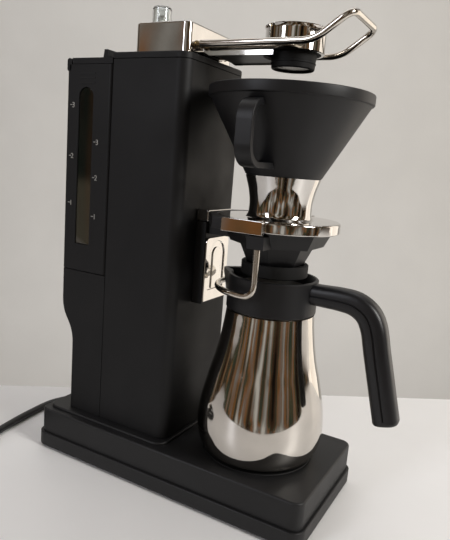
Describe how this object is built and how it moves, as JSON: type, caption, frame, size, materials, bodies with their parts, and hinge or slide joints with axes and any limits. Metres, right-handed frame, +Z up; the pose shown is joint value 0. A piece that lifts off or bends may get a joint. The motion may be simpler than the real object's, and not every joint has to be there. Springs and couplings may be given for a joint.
{
  "type": "pour-over coffee brewer",
  "caption": "Compact countertop pour-over coffee brewer with a slim tower, lift-off water tank, hinged shower arm, cone dripper and insulated steel server.",
  "frame": {"origin": "under the middle of the brewer's outline, lead left out, on the surface that its feet stand on", "axes": "+Z up; -Y to the front, where the server stands; +Y to the back, where the tank and the lead are; +X to the machine's right seen from the front"},
  "size_m": [0.2143, 0.4146, 0.3722],
  "materials": {
    "housing_black": "fine matt texture",
    "base_grey": "satin, slightly lighter than the tower",
    "moulded_black": "satin moulded",
    "chrome": "polished plate",
    "polished_steel": "polished stainless steel",
    "brushed_steel": "drawn and turned",
    "rubber_black": "matt rubber",
    "cord_black": "semi-matt sheath",
    "clear_plastic": "clear moulded",
    "white_plastic": "translucent white",
    "copper": "drawn tube",
    "brass": "turned",
    "board_green": "coated board"
  },
  "bodies": {
    "root": {"base_pan": "base_grey", "base_housing": "base_grey", "foot_1": "rubber_black", "foot_2": "rubber_black", "foot_3": "rubber_black", "foot_4": "rubber_black", "server_pad": "rubber_black", "control_board": "board_green", "switch_frame": "moulded_black", "tower_shell": "housing_black", "top_plate": "housing_black", "tower_spine": "brushed_steel", "rear_cover": "housing_black", "boiler": "brushed_steel", "thermal_cutout": "moulded_black", "riser_tube": "copper", "tank_seat": "moulded_black", "inlet_hose": "white_plastic", "head_box": "chrome", "feed_duct": "moulded_black", "steam_cap": "clear_plastic", "steam_core": "white_plastic", "bracket_body": "moulded_black", "bracket_cap": "chrome", "bracket_face": "chrome", "bracket_inlay": "chrome", "fork_carrier": "moulded_black", "fork_prong_left": "chrome", "fork_prong_right": "chrome", "drip_holder": "moulded_black", "drip_ring": "rubber_black", "strain_relief": "rubber_black", "power_cord": "cord_black", "cord_coil": "cord_black", "plug": "cord_black"},
    "arm": {"arm_channel": "chrome", "arm_tray": "moulded_black", "arm_pin": "brass", "lifting_loop": "polished_steel", "shower_ring": "chrome", "shower_cover": "moulded_black", "shower_nozzle": "rubber_black", "shower_plate": "brushed_steel"},
    "server": {"server_shell": "polished_steel", "server_liner": "brushed_steel", "server_collar": "moulded_black", "server_handle": "moulded_black", "handle_end_cap": "moulded_black"},
    "lever": {"lever_wire": "polished_steel"},
    "valve": {"drip_valve": "white_plastic"},
    "dripper": {"dripper_cone": "moulded_black", "dripper_waist": "chrome", "dripper_disc": "chrome", "dripper_handle": "moulded_black"},
    "tank": {"tank_shell": "housing_black", "tank_window": "clear_plastic", "lid_pin": "brushed_steel"},
    "lid": {"tank_lid": "housing_black"},
    "tank_valve": {"tank_valve": "white_plastic"},
    "rocker": {"power_rocker": "moulded_black"}
  },
  "joints": [
    {"name": "arm_lift", "type": "hinge", "parent": "root", "child": "arm", "pos_m": [0.0052, 0.02529, 0.3415], "axis": [-1, 0, 0], "range_deg": [0, 78]},
    {"name": "server_slide", "type": "slide", "parent": "root", "child": "server", "axis": [0, -1, 0], "range_m": [0, 0.18]},
    {"name": "lever_swing", "type": "hinge", "parent": "root", "child": "lever", "pos_m": [0.0052, -0.04471, 0.205], "axis": [-1, 0, 0], "range_deg": [0, 12.5]},
    {"name": "drip_valve_drop", "type": "slide", "parent": "root", "child": "valve", "axis": [0, 0, -1], "range_m": [0, 0.0024]},
    {"name": "dripper_slide", "type": "slide", "parent": "root", "child": "dripper", "axis": [0, -1, 0], "range_m": [0, 0.13]},
    {"name": "tank_lift", "type": "slide", "parent": "root", "child": "tank", "axis": [0, 0, 1], "range_m": [0, 0.18]},
    {"name": "tank_valve_drop", "type": "slide", "parent": "tank", "child": "tank_valve", "axis": [0, 0, -1], "range_m": [0, 0.0014]},
    {"name": "lid_hinge", "type": "hinge", "parent": "tank", "child": "lid", "pos_m": [0.0052, 0.13349, 0.32795], "axis": [-1, 0, 0], "range_deg": [0, 100]},
    {"name": "power_rocker_tilt", "type": "hinge", "parent": "root", "child": "rocker", "pos_m": [0.0573, 0.06129, 0.0245], "axis": [0, 0, 1], "range_deg": [-14, 0]}
  ],
  "couplings": [
    {"joint": "lever_swing", "follows": "server_slide", "rad_per_m": 1.1636},
    {"joint": "drip_valve_drop", "follows": "server_slide", "ratio": 0.01222},
    {"joint": "tank_valve_drop", "follows": "tank_lift", "ratio": 0.00667}
  ]
}
